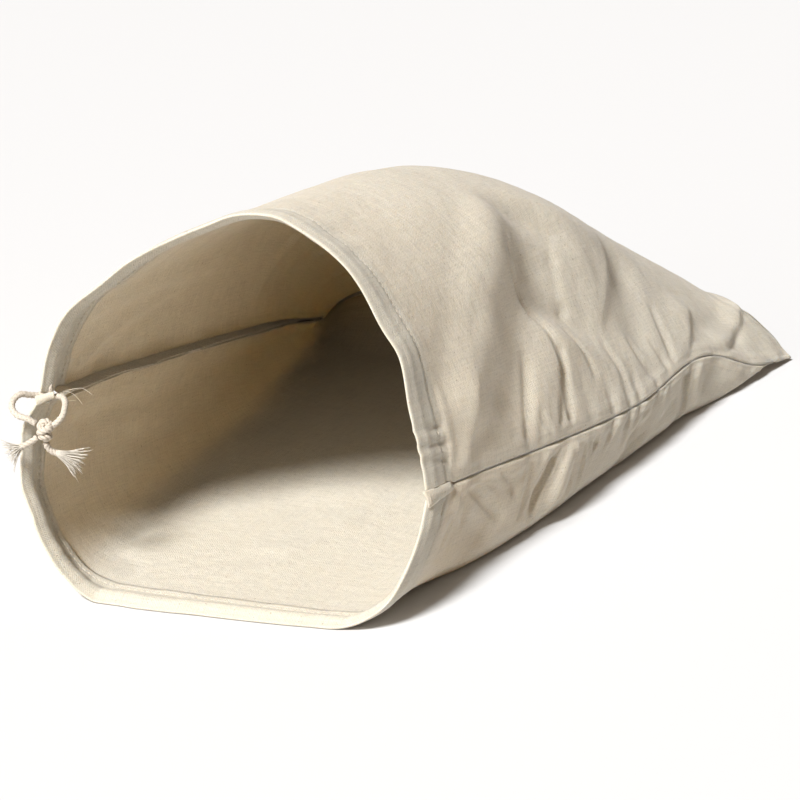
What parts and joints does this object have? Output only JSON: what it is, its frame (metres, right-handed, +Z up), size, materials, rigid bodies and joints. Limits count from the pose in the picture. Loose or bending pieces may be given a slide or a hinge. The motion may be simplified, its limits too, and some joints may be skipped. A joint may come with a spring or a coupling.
{
  "type": "drawstring bread bag",
  "caption": "Unbleached cotton drawstring bag for bread, lying on its side with its mouth held open, its hem carrying a cord tied in a knot with frayed ends.",
  "frame": {"origin": "middle of the bag's footprint, on the surface that it lies on", "axes": "+Y from the mouth to the closed far end, +X to the right of someone who looks in at the mouth, +Z up"},
  "size_m": [0.2738, 0.4316, 0.1655],
  "materials": {
    "upper_cotton": "matte",
    "lower_cotton": "matte",
    "cord": "matte",
    "frayed_cord": "matte"
  },
  "bodies": {
    "root": {"upper_panel": "upper_cotton", "lower_panel": "lower_cotton", "drawstring": "cord", "knot": "cord", "left_end": "cord", "right_end": "cord", "left_tuft": "frayed_cord", "right_tuft": "frayed_cord"}
  },
  "joints": []
}
